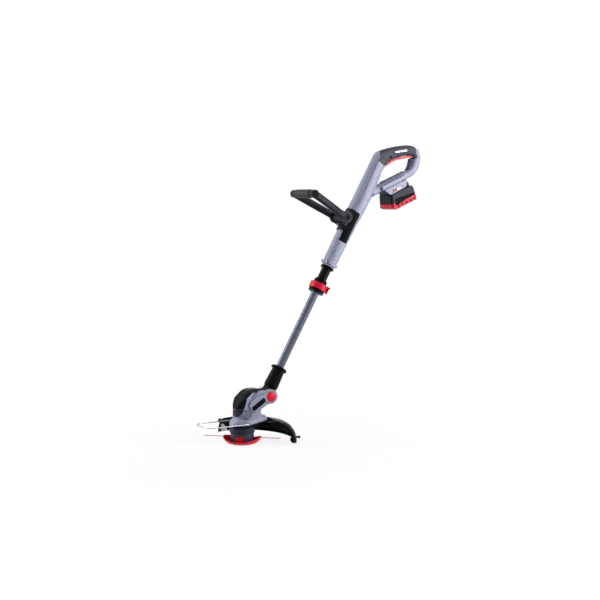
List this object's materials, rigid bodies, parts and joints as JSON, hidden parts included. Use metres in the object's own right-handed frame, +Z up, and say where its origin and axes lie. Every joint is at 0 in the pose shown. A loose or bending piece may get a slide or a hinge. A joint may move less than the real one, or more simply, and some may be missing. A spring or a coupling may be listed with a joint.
{
  "type": "string trimmer",
  "caption": "Cordless string trimmer with telescopic shaft, pivoting motor head, guard, wire plant guard, line spool, D-shaped trigger grip, second handle and slide-on battery.",
  "frame": {"origin": "on the spindle axis at the underside of the spool cap, the surface that meets the ground", "axes": "+X back towards the user, +Y to the tool's right, +Z up; the shaft leans back 30 degrees from +Z towards +X"},
  "size_m": [0.8691, 0.2723, 0.9827],
  "materials": {
    "housing_grey": "satin",
    "soft_charcoal": "matt",
    "charcoal_plastic": "satin",
    "black_plastic": "satin",
    "black_gloss": "gloss",
    "soft_black": "matt",
    "red_plastic": "satin",
    "red_line": "matt",
    "tube_silver": "satin",
    "bright_trim": "satin",
    "steel": "satin",
    "contact_brass": "bright",
    "board_green": "satin",
    "cell_wrap": "satin"
  },
  "bodies": {
    "main_body": {"housing_left": "housing_grey", "housing_right": "housing_grey", "grip_cover_left": "soft_charcoal", "grip_cover_right": "soft_charcoal", "grip_inlays": "bright_trim", "loop_liner": "soft_charcoal", "bridge_pad": "charcoal_plastic", "battery_dock": "charcoal_plastic", "dock_terminals": "contact_brass", "trigger_switch": "black_plastic", "trigger_pin": "steel", "trigger_spring": "steel", "control_board": "board_green", "housing_screws": "steel", "outer_tube": "black_gloss", "tube_flange": "black_plastic", "clamp_collar": "black_plastic", "clamp_pin": "steel", "handle_bracket": "charcoal_plastic", "handle_bolt": "black_plastic"},
    "trigger": {"trigger": "red_plastic"},
    "lock_off": {"lock_button": "black_plastic"},
    "aux_handle": {"aux_frame": "charcoal_plastic", "aux_grip": "soft_black", "aux_end_caps": "black_plastic"},
    "battery": {"battery_case": "charcoal_plastic", "battery_base": "red_plastic", "battery_cells": "cell_wrap", "battery_contacts": "contact_brass"},
    "battery_latch": {"battery_latch": "black_plastic"},
    "clamp_lever": {"clamp_lever": "red_plastic"},
    "lower_shaft": {"inner_tube": "tube_silver", "tube_bush": "black_plastic", "neck_left": "black_plastic", "neck_right": "black_plastic", "neck_screws": "steel"},
    "motor_head": {"head_left": "housing_grey", "head_right": "housing_grey", "head_cap": "black_gloss", "head_chin": "charcoal_plastic", "side_caps": "housing_grey", "head_screws": "steel", "motor_can": "steel", "motor_bearings": "steel", "head_collar": "charcoal_plastic", "guard": "black_plastic", "guard_screws": "steel", "line_cutter": "steel", "tilt_spring": "steel"},
    "tilt_button": {"tilt_button": "red_plastic"},
    "nose_button": {"nose_button": "red_plastic"},
    "wire_guard": {"wire_guard": "steel"},
    "spindle": {"motor_shaft": "steel", "spool_housing": "charcoal_plastic", "spool_cap": "red_plastic", "line_spool": "black_plastic", "spool_spring": "steel", "cutting_lines": "red_line"}
  },
  "joints": [
    {"name": "telescope", "type": "slide", "parent": "main_body", "child": "lower_shaft", "axis": [0.5, 0, 0.866], "range_m": [0, 0.22]},
    {"name": "clamp_lever", "type": "hinge", "parent": "main_body", "child": "clamp_lever", "pos_m": [0.3077, -0.01696, 0.47045], "axis": [0.5, 0, 0.866], "range_deg": [0, 110]},
    {"name": "head_tilt", "type": "hinge", "parent": "lower_shaft", "child": "motor_head", "pos_m": [0.0917, 0, 0.1506], "axis": [0, 1, 0], "range_deg": [-30, 40]},
    {"name": "tilt_button", "type": "slide", "parent": "motor_head", "child": "tilt_button", "axis": [0, 1, 0], "range_m": [0, 0.003], "stiffness_N_per_m": 800, "springref_m": -0.002, "deforming": ["tilt_spring"]},
    {"name": "wire_guard", "type": "hinge", "parent": "motor_head", "child": "wire_guard", "pos_m": [0, 0, 0.07], "axis": [0, 1, 0], "range_deg": [0, 100]},
    {"name": "spindle_spin", "type": "hinge", "parent": "motor_head", "child": "spindle", "pos_m": [0, 0, 0], "axis": [0, 0, 1], "continuous": true},
    {"name": "nose_button", "type": "slide", "parent": "motor_head", "child": "nose_button", "axis": [1, 0, 0], "range_m": [0, 0.0025], "stiffness_N_per_m": 500, "springref_m": -0.002},
    {"name": "trigger", "type": "hinge", "parent": "main_body", "child": "trigger", "pos_m": [0.6767, 0, 0.9497], "axis": [0, 1, 0], "range_deg": [0, 5], "stiffness_Nm_per_rad": 1, "springref_deg": -5.73, "deforming": ["trigger_spring"]},
    {"name": "lock_off", "type": "slide", "parent": "main_body", "child": "lock_off", "axis": [0, 1, 0], "range_m": [0, 0.004], "stiffness_N_per_m": 300, "springref_m": -0.002},
    {"name": "aux_handle", "type": "hinge", "parent": "main_body", "child": "aux_handle", "pos_m": [0.386, 0, 0.73494], "axis": [0, 1, 0], "range_deg": [-60, 60]},
    {"name": "battery", "type": "slide", "parent": "main_body", "child": "battery", "axis": [0.9239, 0, 0.3827], "range_m": [0, 0.11]},
    {"name": "battery_latch", "type": "slide", "parent": "battery", "child": "battery_latch", "axis": [-0.9239, 0, -0.3827], "range_m": [0, 0.004], "stiffness_N_per_m": 300, "springref_m": -0.003}
  ]
}
